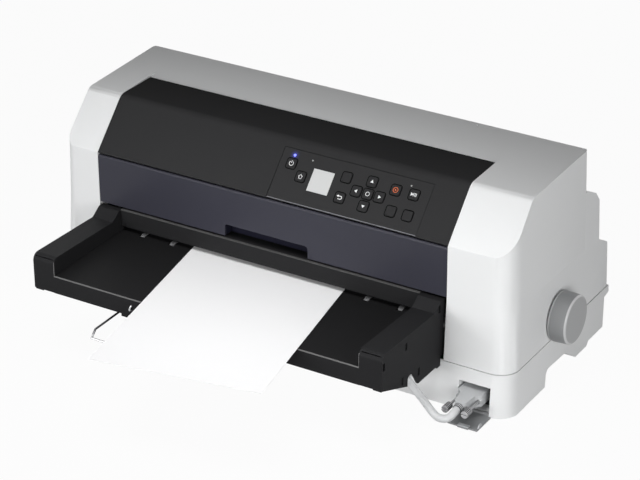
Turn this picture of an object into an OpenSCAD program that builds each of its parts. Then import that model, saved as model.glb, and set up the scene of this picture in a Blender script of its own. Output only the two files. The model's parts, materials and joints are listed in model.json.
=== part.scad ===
// Wide flat-bed dot matrix printer: white case, hinged black cover and smoked window,
// front sheet tray, key panel, side knob and the print mechanism inside.
// X runs to the right as the user sees it, Y to the rear and Z up from the table.

/* [Case] */
// Width between the side walls at the top of the case
case_w = 612; // [590:1:640]
// How far each side wall leans out on its way down to the table
side_draft = 9; // [6:0.5:12]
// Height of the case top above the table, at its rear edge
case_h = 264; // [262:1:275]
// Depth of the case top, from the front face to the upper rear wall
top_d = 198; // [192:1:204]
// Depth of the whole case, from the front face to the lower rear wall
case_d = 260; // [252:1:268]
// Wall of the white mouldings
wall = 3; // [2.5:0.1:3.5]
// Height of the seam between the lower and the upper case
seam_z = 57; // [55:0.5:59]
// Gap left at the seam
seam_gap = 0.55; // [0.3:0.05:0.8]
// Radius of the upright front corners, right and left
front_r = 25; // [15:1:30]
front_left_r = 15; // [8:1:20]
// Radius of the upright rear corners of the top
rear_r = 8; // [6:1:14]

/* [Front opening and covers] */
// Left edge of the opening between the two front towers
open_x0 = -258.7; // [-262:0.1:-250]
// Right edge of the opening
open_x1 = 227.4; // [222:0.1:229]
// Height where the window ends and the slanted face begins
lip_z = 204; // [202:0.5:208]
// Distance of the top bend behind the front face
bend_y = 54; // [50:0.5:58]
// Height of the top bend
bend_z = 261; // [259:0.5:262]
// Radius of the top bend
bend_r = 14; // [6:1:16]
// Rear edge of the black cover
cover_rear_y = 117; // [112:0.5:118]
// Thickness of the cover
cover_t = 3; // [2.5:0.1:3.5]
// Lower edge of the window
window_z = 138; // [137.5:0.5:141]
// Thickness of the window
window_t = 3; // [2.5:0.1:3.5]
// Width of the finger notch in the window
notch_w = 116; // [90:1:130]
// Height of the finger notch
notch_h = 15.5; // [10:0.5:18]

/* [Sheet tray] */
// Height of the tray floor, on which the sheet slides
floor_z = 107; // [106:0.5:107.5]
// Reach of the tray in front of the case
tray_reach = 141.5; // [125:0.5:150]
// Outer faces of the two tray arms, left and right
arm_x0 = -256; // [-258:0.5:-252]
arm_x1 = 223.4; // [219:0.1:224]
// Width of each arm
arm_w = 30; // [26:0.5:34]
// Wall of the tray
tray_t = 2.5; // [2:0.1:3]
// Diameter of the wire support
wire_d = 2.6; // [2.2:0.1:3]
// How far the wire support stands out of the tray
wire_reach = 54; // [40:1:60]

/* [Key panel] */
// Left and right edges of the key panel
panel_x0 = -15.7; // [-20:0.1:-12]
panel_x1 = 185; // [180:0.1:190]
// Length of the panel up the slanted face
panel_s = 66; // [62:0.5:66]
// Side of a square key
key_side = 12; // [11:0.1:12.4]
// How far a key stands out of the panel
key_proud = 1; // [0.8:0.1:1.2]
// Travel of a key
key_travel = 0.8; // [0.5:0.1:0.9]

/* [Knob and feed] */
// Radius of the side knob
knob_r = 31; // [26:0.5:34]
// Thickness of the knob
knob_t = 23.5; // [18:0.5:28]
// Distance of the knob's axis behind the front face
knob_y = 117; // [112:0.5:122]
// Height of the knob's axis
knob_z = 83; // [81:0.5:84]
// Radius of the steel shafts of the feed train
shaft_r = 4; // [3:0.1:4.5]
// Gear module
gear_m = 1.5;
// Face width of the gears
gear_w = 6; // [4:0.5:8]
// Radius of the four small rollers in the tray's rear edge
bump_r = 8.5; // [7.5:0.1:8.5]

/* [Print carriage] */
// Radius of the carriage guide shaft
guide_r = 5; // [4:0.1:6]
// Printable width, which is also the carriage travel
print_w = 345; // [300:1:350]
// Width of the carriage
carriage_w = 66; // [60:1:70]
// Width of the ribbon cartridge
ribbon_w = 126; // [110:1:130]

/* [Sheet] */
// Width and length of the loaded sheet
sheet_w = 210; // [148:1:216]
sheet_l = 297; // [250:1:300]
// Thickness of the sheet, drawn thicker than paper so that it is a solid
sheet_t = 0.3; // [0.2:0.05:0.4]
// Angle at which the loose sheet lies on the tray
sheet_turn = 9.7; // [0:0.1:10]

/* [Interface cable] */
// Diameter of the cable
cable_d = 9.5; // [9:0.1:9.6]
// Turns in each layer of the stowed coil, before the climb to the next layer
coil_turns = 1.5; // [1:0.25:2]

/* [Hidden] */
$fn = 48;

white = [0.86, 0.87, 0.87];
black = [0.16, 0.16, 0.17];
smoke = [0.17, 0.17, 0.22];
steel = [0.62, 0.64, 0.66];
grey = [0.6, 0.61, 0.62];
gear_white = [0.85, 0.85, 0.8];
cable_grey = [0.78, 0.79, 0.8];

big = 400;                      // reach of the cutting blocks
part_gap = 0.3;                 // between pieces that lie side by side
fit = 0.05;                     // radial running clearance of a shaft in its bore
lean = asin(side_draft / case_h);
foot_y = -8;                    // foot of the front face, which leans forward
face_z = 136;                   // height from which the front face stands upright
face_tilt = atan(-foot_y / face_z);
skirt_z = 1;                    // lower edge of the case above the table
function front_y(z) = z > face_z ? 0 : foot_y * (face_z - z) / face_z;
function wall_x(z) = case_w / 2 + side_draft * (case_h - z) / case_h;

// --- outlines ---------------------------------------------------------------------------
function unit2(v) = v / norm(v);
function turn_left(v) = [-v[1], v[0]];
function at(p, i) = p[(i + len(p)) % len(p)];

// Moves every side of a counter-clockwise outline inwards by d
function shrink(p, d) = [for (i = [0:len(p) - 1])
    let (a = turn_left(unit2(at(p, i) - at(p, i - 1))), b = turn_left(unit2(at(p, i + 1) - at(p, i))))
    at(p, i) + d * (a + b) / (1 + a * b)];

// Rounds each corner of an outline with its own radius, in n steps
function soften(p, r, n = 6) = [for (i = [0:len(p) - 1])
    let (u = unit2(at(p, i - 1) - at(p, i)), v = unit2(at(p, i + 1) - at(p, i)),
         half = acos(u * v) / 2, back = r[i] / tan(half))
    if (r[i] <= 0) at(p, i)
    else let (c = at(p, i) + unit2(u + v) * r[i] / sin(half),
              a = at(p, i) + u * back - c, b = at(p, i) + v * back - c,
              a0 = atan2(a[1], a[0]), sweep = ((atan2(b[1], b[0]) - a0 + 540) % 360) - 180)
        each [for (k = [0:n]) c + r[i] * [cos(a0 + sweep * k / n), sin(a0 + sweep * k / n)]]];

// Extrudes an outline drawn in Y and Z along X
module along_x(x0, x1) {
    translate([x0, 0, 0]) rotate([90, 0, 90]) linear_extrude(x1 - x0) children();
}
module rod_x(x0, x1, y, z, r) {
    translate([x0, y, z]) rotate([0, 90, 0]) cylinder(r = r, h = x1 - x0);
}
module box(x, y, z) { translate([x[0], y[0], z[0]]) cube([x[1] - x[0], y[1] - y[0], z[1] - z[0]]); }

// --- case -------------------------------------------------------------------------------
cheek = wall;                                   // walls beside the opening
hinge_y = cover_rear_y - 3.5;
hinge_z = bend_z - 5.5;
hinge_r = 2;
window_hinge_y = 3;
window_hinge_z = lip_z - 4.8;
window_bead = 2.4;
window_pin_r = 1.5;
rear_inset = 1;                                 // the rear housing stands in from the side walls
slope_z = (case_h - bend_z) / (top_d - bend_y); // fall of the top towards the bend
function top_z(y) = case_h - slope_z * (top_d - y);
chamfer_y = cover_rear_y + 3.5;                 // light chamfer behind the cover
chamfer_end = chamfer_y + 13;
chamfer_drop = 2.8;

main_outline = [[top_d, 0], [top_d, case_h], [bend_y, bend_z], [0, lip_z], [0, face_z], [foot_y, 0]];
main_radii = [0, 3, bend_r, 3, 20, 0];
back_d = case_d - 14;                           // rear end of the frame inside
rear_outline = [[top_d - 40, 0], [case_d, 0], [case_d, seam_z], [case_d, 110], [case_d - 7, 119],
    [case_d - 28.5, 131], [case_d - 29, 184], [case_d - 39, 197], [top_d, 208], [top_d - 40, 208]];
rear_radii = [0, 0, 0, 3, 6, 0, 8, 8, 0, 0];

module main_profile(d) { polygon(soften(shrink(main_outline, d), [for (r = main_radii) max(r - d, 0)])); }
module rear_profile(d) { polygon(soften(shrink(rear_outline, d), [for (r = rear_radii) max(r - d, 0)])); }

// Upright block with two rounded outer corners, leaning out like the side wall
module lean_block(side, y0, y1, r0, r1, d) {
    plan = [[-2 * big, y0 + d], [-d, y0 + d], [-d, y1 - d], [-2 * big, y1 - d]];
    translate([side * case_w / 2, 0, case_h]) rotate([0, -side * lean, 0]) translate([0, 0, -case_h - 100])
        mirror([side < 0 ? 1 : 0, 0, 0]) linear_extrude(2 * big)
            polygon(soften(plan, [0, max(r0 - d, 1), max(r1 - d, 1), 0], 8));
}
module lean_pair(y0, y1, r0, r1, d) {
    intersection() {
        lean_block(1, y0, y1, r0, r1, d);
        lean_block(-1, y0, y1, min(r0, front_left_r), r1, d);
    }
}
// The same two blocks, whose front corners follow the front face: upright above face_z, leaning below it
module front_pair(y1, r1, d) {
    intersection() {
        lean_pair(0, y1, front_r, r1, d);
        box([-big, big], [-big, big], [face_z, big]);
    }
    intersection() {
        translate([0, 0, face_z]) rotate([-face_tilt, 0, 0]) translate([0, 0, -face_z])
            lean_pair(0, big, front_r, 1, d);
        lean_pair(-60, y1, 1, r1, d);
        box([-big, big], [-big, big], [-50, face_z]);
    }
}
module envelope(d) {
    intersection() {
        along_x(-big, big) main_profile(d);
        front_pair(top_d, rear_r, d);
    }
    intersection() {
        along_x(-big, big) rear_profile(d);
        lean_pair(top_d - 60, case_d, 1, 6, d + rear_inset);
    }
}

slot_z0 = 103;                                  // rear paper slot
slot_z1 = 113;
slot_x = 225;
vent_n = 9;

// Rim that closes the tower beside the opening, with the middle left open for the mechanism
module cheek_rim(x) {
    along_x(x, x + cheek) difference() {
        intersection() {
            main_profile(0.05);
            translate([foot_y, seam_z + seam_gap]) square([chamfer_y + 6 - foot_y, case_h]);
        }
        intersection() {
            main_profile(16);
            translate([0, seam_z]) square([2 * big, lip_z + 20 - seam_z]);
        }
    }
}

module upper_case() {
    color(white) difference() {
        union() {
            difference() {
                envelope(0);
                envelope(wall);
                box([-big, big], [-50, big], [-50, seam_z + seam_gap]);
                box([open_x0, open_x1], [-50, chamfer_y], [seam_z - 5, big]);
            }
            // flange that carries the chamfer behind the cover
            along_x(open_x0, open_x1) polygon([[chamfer_y, 246], [chamfer_y + 3, 246],
                [chamfer_y + 3, 255], [chamfer_end + 4, top_z(chamfer_end) - wall],
                [chamfer_end + 4, top_z(chamfer_end + 4) - 0.05], [chamfer_y, top_z(chamfer_y) - 0.05]]);
            cheek_rim(open_x0 - cheek);
            cheek_rim(open_x1);
        }
        along_x(open_x0, open_x1) polygon([[chamfer_y - 1, top_z(chamfer_y) - chamfer_drop],
            [chamfer_y, top_z(chamfer_y) - chamfer_drop], [chamfer_end, top_z(chamfer_end)],
            [chamfer_end, case_h + 9], [chamfer_y - 1, case_h + 9]]);
        // pivots of the cover and the window, bearings of the small rollers
        rod_x(open_x0 - cheek - 1, open_x1 + cheek + 1, hinge_y, hinge_z, hinge_r + fit);
        rod_x(open_x0 - cheek - 1, open_x1 + cheek + 1, window_hinge_y, window_hinge_z, window_pin_r + fit);
        rod_x(open_x0 - cheek - 1, open_x1 + cheek + 1, bump_y, bump_z, bump_shaft_r + fit);
        // hole of the knob shaft
        rod_x(open_x1 + 40, big, knob_y, knob_z, shaft_r + 2);
        // paper slot and vents in the rear
        box([-slot_x, slot_x], [top_d - 5, big], [slot_z0, slot_z1]);
        for (i = [0:vent_n - 1]) box([-250 + 12 * i, -246 + 12 * i], [case_d - 30, big], [142, 176]);
        // locating hole for the stacker on top
        translate([164, top_d - 9, case_h - 10]) cylinder(r = 1.5, h = 20);
    }
}

// Lower case: an open tray of walls with hand recesses in both sides
base_outline = [[front_y(skirt_z), skirt_z], [case_d - 61, skirt_z], [case_d - 56, 6], [case_d - 16, 6],
    [case_d - 12, 45], [case_d, 47.5], [case_d, seam_z - seam_gap], [front_y(seam_z), seam_z - seam_gap]];
grip_outline = [[80.5, -30], [190, -30], [190, -15], [171, -1], [140, 20.5], [89.5, 22.5]];
grip_radii = [0, 0, 0, 0, 5, 8];
grip_x = 285;                                   // depth of the hand recesses in the sides
bay_x0 = 248.5;
bay_x1 = 289.5;
bay_z = 38.5;
bay_d = 34;

module base_block(d) {
    intersection() {
        along_x(-big, big) polygon(shrink(base_outline, d));
        front_pair(case_d + 30, 10, d);
    }
}
module grips(d) {
    for (s = [-1, 1]) along_x(s > 0 ? grip_x - d : -big, s > 0 ? big : -grip_x + d)
        polygon(soften(shrink(grip_outline, -d), [for (r = grip_radii) r > 0 ? r + d : 0]));
}
boss_xy = [[-245, 40], [210, 40], [-245, back_d - 21], [210, back_d - 21]];
boss_r = 6;
pan_z = 60;                                     // underside of the steel base of the frame
pan_t = 2;
foot_xy = [[-285, 25], [285, 25], [-285, 182], [285, 182]];
foot_r = 12;

module lower_case() {
    color(white) difference() {
        union() {
            difference() {
                base_block(0);
                difference() {
                    base_block(wall);
                    grips(wall);
                    box([bay_x0 - wall, bay_x1 + wall], [-20, bay_d + wall], [-20, bay_z + wall]);
                }
                box([-big, big], [-2, case_d - wall], [seam_z - wall - 3, seam_z + 9]);
            }
            // upper edge, closed again round the walls
            difference() {
                intersection() {
                    base_block(0);
                    box([-big, big], [-20, big], [seam_z - 7, seam_z]);
                }
                intersection() {
                    front_pair(case_d, 10, wall);
                    translate([0, 0, face_z]) rotate([-face_tilt, 0, 0])
                        box([-big, big], [wall, big], [-big, big]);
                }
            }
            for (p = boss_xy) let (z = p[1] > case_d - 62 ? 7 : skirt_z)
                translate([p[0], p[1], z]) cylinder(r = boss_r, h = pan_z - z);
            cable_hooks();
        }
        grips(0);
        box([bay_x0, bay_x1], [-20, bay_d], [skirt_z + wall, bay_z]);
        box([bay_x0, bay_x1], [-20, -1.5], [-20, bay_z]);
        rod_x(bay_x0 - 2, bay_x1 + 2, flap_y, flap_z, flap_pin + fit);
        for (p = foot_xy) translate([p[0], p[1], -1]) cylinder(r = foot_r + 0.1, h = 1 + skirt_z + 1.5);
        // opening of the power inlet
        box([inlet_x - 14.2, inlet_x + 14.2], [case_d - 20, case_d], [14.8, 37.2]);
    }
}

module rubber_feet() {
    color([0.12, 0.12, 0.12]) for (p = foot_xy) translate([p[0], p[1], 0]) {
        cylinder(r1 = foot_r - 1.5, r2 = foot_r, h = 1.5);
        translate([0, 0, 1.5]) cylinder(r = foot_r, h = skirt_z);
    }
}

// Hooks that hold the cable along the foot of the front wall
hook_x = [120, -60, -235];
hook_w = 8;
run_y = -12;
run_z = 30;
module cable_hooks() {
    low = run_z - cable_d / 2 - part_gap;
    for (x = hook_x) along_x(x, x + hook_w)
        polygon([[front_y(low) + 1, low - 3], [run_y - cable_d / 2 - 2, low - 3],
        [run_y - cable_d / 2 - 2, low + 5], [run_y - cable_d / 2 - part_gap, low + 5],
        [run_y - cable_d / 2 - part_gap, low], [front_y(low) + 1, low]]);
}

// --- cover and window -------------------------------------------------------------------
slant = unit2([bend_y, bend_z - lip_z]);        // direction up the slanted face, in Y and Z
slant_out = [-slant[1], slant[0]];
slant_a = atan2(slant[1], slant[0]);
cover_sink = 2;                                 // how far the cover's rear edge lies below the case top
side_gap = 0.5;

// Places children on the slanted face: X stays, Y runs up the slope, Z stands out of it
module on_slant() { translate([0, 0, lip_z]) rotate([slant_a, 0, 0]) children(); }

module top_cover() {
    x0 = open_x0 + side_gap;
    x1 = open_x1 - side_gap;
    skin = [[-0.3, lip_z + 0.9], [0.9, lip_z - 0.4], [bend_y + 2.2, bend_z - cover_t - 0.9],
        [cover_rear_y, top_z(cover_rear_y) - cover_sink - cover_t],
            [cover_rear_y, top_z(cover_rear_y) - cover_sink],
        [bend_y, bend_z]];
    rib = [[0.9, lip_z - 0.4], [12, lip_z - 0.4], [bend_y + 5, bend_z - 12],
        [cover_rear_y - 1, hinge_z - 4],
        [cover_rear_y - 0.5, hinge_z], [cover_rear_y - 0.5, hinge_z + 2.5], [bend_y, bend_z - 1]];
    color(black) difference() {
        union() {
            along_x(x0, x1) polygon(soften(skin, [0.5, 0.5, bend_r - cover_t, 0.5, 0.8, bend_r], 6));
            along_x(x0, x0 + cover_t) polygon(soften(rib, [0, 1, 4, 2, 0, 0, 12]));
            along_x(x1 - cover_t, x1) polygon(soften(rib, [0, 1, 4, 2, 0, 0, 12]));
            rod_x(x0 - cheek + 0.2, x0 + 1, hinge_y, hinge_z, hinge_r);
            rod_x(x1 - 1, x1 + cheek - 0.2, hinge_y, hinge_z, hinge_r);
        }
        // room for the key panel
        on_slant() box([panel_x0 - side_gap, panel_x1 + side_gap], [-20, panel_s + side_gap], [-20, 20]);
    }
}

notch_x = (open_x0 + open_x1) / 2 - 1.4;
pocket_d = 14;                                  // depth of the finger pocket behind the notch
pocket_t = 1.6;
module front_window() {
    x0 = open_x0 + side_gap;
    x1 = open_x1 - side_gap;
    color(smoke) difference() {
        union() {
            box([x0, x1], [0, window_t], [window_z, window_hinge_z]);
            rod_x(x0, x1, window_hinge_y, window_hinge_z, window_bead);
            rod_x(x0 - cheek + 0.2, x0 + 1, window_hinge_y, window_hinge_z, window_pin_r);
            rod_x(x1 - 1, x1 + cheek - 0.2, window_hinge_y, window_hinge_z, window_pin_r);
        }
        translate([notch_x, 9, 0]) rotate([90, 0, 0]) linear_extrude(18)
            polygon(soften([[-notch_w / 2, window_z - 9], [notch_w / 2, window_z - 9],
                [notch_w / 2, window_z + notch_h],
                [-notch_w / 2, window_z + notch_h]], [0, 0, 4, 2.5]));
    }
}
// Pocket behind the notch: a bent strip, open towards the front and below
module window_pocket() {
    color(smoke) difference() {
        box([notch_x - notch_w / 2 - pocket_t, notch_x + notch_w / 2 + pocket_t],
            [window_t, pocket_d + pocket_t],
            [window_z, window_z + notch_h + pocket_t]);
        box([notch_x - notch_w / 2, notch_x + notch_w / 2], [window_t - 1, pocket_d],
            [window_z - 1, window_z + notch_h]);
    }
}

// --- key panel --------------------------------------------------------------------------
// name, distance from the left, distance up the slope
keys = [["key_power", 0.1, 47.8], ["key_mode", 17.9, 35], ["key_source", 75.4, 48], ["key_back", 76, 22.5],
    ["key_up", 108.8, 50.5], ["key_left", 93.4, 35], ["key_ok", 108.8, 35], ["key_right", 124.2, 35],
    ["key_down", 108.8, 19.6], ["key_cancel", 140.9, 48], ["key_pause", 165, 48], ["key_load", 144.1, 22.2],
    ["key_unit", 166.4, 22.2]];
key_gap = 0.35;
key_r = 2.5;
lcd = [30.7, 59, 20.8, 49.2];                   // left, right, lower and upper edge of the display
light_xs = [[0.3, 58.6, 1.6], [25.3, 57.6, 0.9], [157.7, 57.7, 0.9]];
panel_s0 = 1.2;                                 // lower edge of the panel on the slope
skirt_s = 5.5;                                  // its skirt stays clear of the window's bead
panel_t = 3;
board_drop = 9;                                 // depth of the switch board below the panel face

module round_square(side, r) {
    h = side / 2;
    polygon(soften([[-h, -h], [h, -h], [h, h], [-h, h]], [r, r, r, r], 4));
}

module control_panel() {
    color(black) on_slant() difference() {
        union() {
            box([panel_x0, panel_x1], [panel_s0, panel_s], [-panel_t, 0]);
            for (x = [panel_x0, panel_x1 - 2.5])
                box([x, x + 2.5], [skirt_s, panel_s], [-board_drop - 3, -1]);
            box([panel_x0, panel_x1], [skirt_s, skirt_s + 2.2], [-board_drop - 3, -1]);
            box([panel_x0, panel_x1], [panel_s - 2.2, panel_s], [-board_drop - 3, -1]);
            // switch board
            box([panel_x0 + 1, panel_x1 - 1], [skirt_s + 1, panel_s - 1], [-board_drop - 1.6, -board_drop]);
        }
        for (k = keys) translate([k[1], k[2], -panel_t - 1]) linear_extrude(9)
            round_square(key_side + 2 * key_gap, key_r + key_gap);
        box([lcd[0], lcd[1]], [lcd[2], lcd[3]], [-panel_t - 1, 9]);
        for (l = light_xs) translate([l[0], l[1], -panel_t - 1]) cylinder(r = l[2] + 0.1, h = 9);
    }
}
module panel_display() {
    color([0.85, 0.86, 0.86]) on_slant()
        box([lcd[0] + 0.1, lcd[1] - 0.1], [lcd[2] + 0.1, lcd[3] - 0.1], [-board_drop, -0.4]);
}
module panel_lights() {
    color([0.3, 0.4, 1]) on_slant() for (l = light_xs) translate([l[0], l[1], -board_drop])
        cylinder(r = l[2], h = board_drop + 0.2);
}
module key(i) {
    k = keys[i];
    color(black) on_slant() translate([k[1], k[2], 0]) {
        translate([0, 0, key_proud - 3]) linear_extrude(3) round_square(key_side, key_r);
        // flange that keeps the key in the panel, and its stem over the switch
        translate([0, 0, -panel_t - part_gap - 1.2]) linear_extrude(1.2)
            round_square(key_side + 2.2, key_r + 1);
        translate([0, 0, -board_drop + key_travel + part_gap]) cylinder(r = 2.5, h = board_drop - 3);
    }
}
// Beam between the towers that carries the key panel
module panel_bridge() {
    color(steel) on_slant() difference() {
        box([open_x0, open_x1], [12, 34], [-board_drop - 11, -board_drop - 3]);
        box([open_x0 - 1, open_x1 + 1], [14, 32], [-board_drop - 9, -board_drop + 9]);
    }
    color(steel) on_slant() for (x = [panel_x0 + 6, panel_x1 - 14])
        box([x, x + 8], [12, 34], [-board_drop - 3, -board_drop - 1.6]);
}

// --- tray -------------------------------------------------------------------------------
tray_y = -tray_reach;
arm_top0 = 129.5;                               // arm top at the front
arm_top1 = 125.5;                               // arm top at the foot of its ramp
ramp_top = 134.6;
tray_low = 84;                                  // lower front edge
tray_back = -5.3;                               // rear face of the tray
tray_in = 2.6;                                  // above the lower case the arms reach into the opening
arm_outline = [[tray_y, tray_low], [-83.2, 61], [-56.5, 52], [-16, 52], [-13, 49.3], [tray_back, 49.3],
    [tray_back, seam_z + 4],
    [tray_in, seam_z + 4], [tray_in, ramp_top], [tray_back - 1, ramp_top], [-20.4, arm_top1],
        [tray_y, arm_top0]];
arm_slots = [[-86.5, 114.6], [-137, 113.2], [-56.5, 67.5], [-94.5, 73.6], [-9, 125.5]];
arch = [[-82.5, 40], [-57, 40], [-57, 50], [-71.5, 73], [-82.5, 73]];  // way of the cable through the arm's wall
bump_y = 4;
bump_z = floor_z + 0.6 - bump_r;
bump_shaft_r = 3;
bump_x = [-195, -152, 122, 167.5];
bump_w = 7;
wire_x = [-134, 62];
wire_z = 83.7;

module arm(x) {
    difference() {
        along_x(x, x + arm_w) polygon(soften(arm_outline, [2, 6, 4, 0, 0, 0, 0, 0, 0, 0, 0, 9]));
        along_x(x + tray_t, x + arm_w - tray_t)
            polygon([[tray_y + tray_t, tray_low - 40], [tray_back - tray_t, -10],
            [tray_back - tray_t, seam_z + 4 + tray_t], [tray_in - tray_t, seam_z + 4 + tray_t],
                [tray_in - tray_t, ramp_top - tray_t],
            [tray_back, ramp_top - tray_t], [-20.4, arm_top1 - tray_t],
                [tray_y + tray_t, arm_top0 - tray_t]]);
        rod_x(x - 1, x + arm_w + 1, bump_y, bump_z, bump_shaft_r + part_gap);
    }
}

module front_tray() {
    color(black) difference() {
        union() {
            difference() {
                union() {
                    arm(arm_x0);
                    arm(arm_x1 - arm_w);
                }
                // slots in the outer face of the arms
                for (x = [arm_x0 - 1, arm_x1 - tray_t - 1]) {
                    for (p = arm_slots) box([x, x + tray_t + 2], [p[0] - 2.2, p[0] + 2.2],
                        [p[1] - 4.8, p[1] + 4.8]);
                    along_x(x, x + tray_t + 2) polygon(soften(arch, [0, 0, 0, 3, 4]));
                }
            }
            box([arm_x0 + arm_w - 1, arm_x1 - arm_w + 1], [tray_y, bump_y + 1],
                [floor_z - tray_t, floor_z]);
            // front lip, rear wall and two ribs under the floor
            along_x(arm_x0 + arm_w - 1, arm_x1 - arm_w + 1)
                polygon(soften([[tray_y, tray_low], [tray_y + tray_t, tray_low],
                [tray_y + tray_t, floor_z - 1], [tray_y + tray_t, floor_z], [tray_y, floor_z]],
                    [0, 0, 0, 0, 1.2]));
            along_x(arm_x0 + arm_w - 1, arm_x1 - arm_w + 1)
                polygon([[tray_back - tray_t, 52], [tray_back, 52], [tray_back, floor_z - 22],
                [tray_back, floor_z - 1], [tray_back - tray_t, floor_z - 1]]);
            box([arm_x0 + arm_w - 1, arm_x1 - arm_w + 1], [-72, -72 + tray_t], [wire_z - 4, floor_z - 1]);
            for (x = wire_x) box([x + 4.4, x + 12.3], [tray_y, tray_y + 3], [tray_low - 3.4, tray_low + 4]);
            // pads under the front ends of the arms
            for (x = [arm_x0 + 1, arm_x1 - 12]) box([x, x + 11], [tray_y + 1, tray_y + 3],
                [tray_low - 1.6, tray_low + 3]);
        }
        for (x = wire_x) translate([x, tray_y - 5, wire_z]) rotate([-90, 0, 0])
            cylinder(r = wire_d / 2 + fit, h = 90);
        // pockets of the small rollers
        for (x = bump_x) box([x - bump_w / 2 - 0.6, x + bump_w / 2 + 0.6],
            [bump_y - bump_r - 0.8, bump_y + 9], [bump_z - bump_r - 1, floor_z + 1]);
    }
}
module tray_rollers() {
    color(grey) rotate([0, 0, 0]) for (x = bump_x) rod_x(x - bump_w / 2, x + bump_w / 2, bump_y,
        bump_z, bump_r);
    color(steel) rod_x(open_x0 - cheek, open_x1 + cheek, bump_y, bump_z, bump_shaft_r);
}

wire_front = tray_y - wire_reach;
module wire_support() {
    r = wire_d / 2;
    rear = -66;
    bend = 8;
    color([0.8, 0.8, 0.82]) {
        for (x = wire_x) {
            translate([x, wire_front + bend, wire_z]) rotate([-90, 0, 0])
                cylinder(r = r, h = rear - wire_front - bend, $fn = 16);
            translate([x, wire_front + bend, wire_z]) sphere(r = r, $fn = 16);
            translate([x, wire_front + bend, wire_z]) rotate([135, 0, 0])
                cylinder(r = r, h = bend * sqrt(2), $fn = 16);
            translate([x, wire_front, wire_z - bend]) sphere(r = r, $fn = 16);
        }
        rod_x(wire_x[0], wire_x[1], wire_front, wire_z - bend, r, $fn = 16);
    }
}

// Black bar over the sheet slot
module entry_guide() {
    x0 = arm_x0 + arm_w + part_gap;
    x1 = arm_x1 - arm_w - part_gap;
    color(black) {
        along_x(x0, x1) polygon(soften([[-3, 113.5], [-1, 112.7], [16, 112.3], [24, 113.5],
            [24, 115], [0, 115.5],
            [0, 131], [24, 131], [24, 133.5], [-1, 136.2], [-3, 135.4]],
                [1, 1, 0, 0, 0, 1, 0, 0, 0, 0.8, 0.8]));
        box([open_x0 - cheek - 1, open_x1 + cheek + 1], [17.8, 24], [126, 133.5]);
    }
}

// --- feed train -------------------------------------------------------------------------
plate_t = 2;
plate_l = open_x0 - cheek - 1 - plate_t;        // outer face of the left side plate
plate_r = open_x1 + cheek + 1;                  // inner face of the right side plate
gear_x = plate_r + plate_t + 4.6;
roller_r = 12;
roller_z = floor_z - roller_r;                  // tops level with the tray floor
idler_teeth = 16;
main_teeth = 24;
pinion_teeth = 12;
function pitch_r(n) = gear_m * n / 2;
knob_at = [knob_y, knob_z];
main_step = 2 * pitch_r(main_teeth);
idler_step = pitch_r(main_teeth) + pitch_r(idler_teeth);
rear_roller_at = [knob_y + sqrt(main_step * main_step - pow(roller_z - knob_z, 2)), roller_z];
chain = 2 * idler_step + 2 * pitch_r(idler_teeth);
front_roller_at = [knob_y - sqrt(pow(chain - 0.1, 2) - pow(roller_z - knob_z, 2)), roller_z];
to_front = unit2(front_roller_at - knob_at);
// the two idlers lie a hair off the straight line, so that all three distances close
off = sqrt(max(pow(idler_step, 2) - pow(norm(front_roller_at - knob_at) / 2 - pitch_r(idler_teeth), 2), 0));
idler_a_at = knob_at + to_front * (norm(front_roller_at - knob_at) / 2 - pitch_r(idler_teeth)) + off *
    turn_left(to_front);
idler_b_at = front_roller_at - to_front *
    (norm(front_roller_at - knob_at) / 2 - pitch_r(idler_teeth)) + off * turn_left(to_front);
pinion_dir = 112;
pinion_at = knob_at + (pitch_r(main_teeth) + pitch_r(pinion_teeth)) * [cos(pinion_dir), sin(pinion_dir)];

function angle_to(a, b) = atan2(b[1] - a[1], b[0] - a[0]);
// Turn of a gear that meshes with another one, given the other's turn and the centres
function meshed(turn_a, na, nb, a, b) = angle_to(a, b) + 180 - (turn_a - angle_to(a, b)) *
    na / nb + 180 / nb;
turn_knob = 0;
turn_rear = meshed(turn_knob, main_teeth, main_teeth, knob_at, rear_roller_at);
turn_a = meshed(turn_knob, main_teeth, idler_teeth, knob_at, idler_a_at);
turn_b = meshed(turn_a, idler_teeth, idler_teeth, idler_a_at, idler_b_at);
turn_front = meshed(turn_b, idler_teeth, main_teeth, idler_b_at, front_roller_at);
turn_pinion = meshed(turn_knob, main_teeth, pinion_teeth, knob_at, pinion_at);

function tooth_outline(n) = [for (k = [0:n - 1]) let (p = 360 / n, r = pitch_r(n))
    each [[r - 1.2 * gear_m, k * p - 0.36 * p], [r + 0.05 * gear_m, k * p - 0.21 * p],
        [r + 0.9 * gear_m, k * p - 0.1 * p],
        [r + 0.9 * gear_m, k * p + 0.1 * p], [r + 0.05 * gear_m, k * p + 0.21 * p],
            [r - 1.2 * gear_m, k * p + 0.36 * p]]];
module gear(n, turn, at_yz, bore) {
    translate([gear_x, at_yz[0], at_yz[1]]) rotate([90, 0, 90]) difference() {
        union() {
            rotate([0, 0, turn]) linear_extrude(gear_w)
                polygon([for (q = tooth_outline(n)) q[0] * [cos(q[1]), sin(q[1])]]);
            translate([0, 0, -1.5]) cylinder(r = bore + 2.5, h = gear_w + 3);
        }
        translate([0, 0, -9]) cylinder(r = bore, h = 30);
    }
}
stud_r = 3;
module idler_gear_a() { color(gear_white) gear(idler_teeth, turn_a, idler_a_at, stud_r + fit); }
module idler_gear_b() { color(gear_white) gear(idler_teeth, turn_b, idler_b_at, stud_r + fit); }

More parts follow.
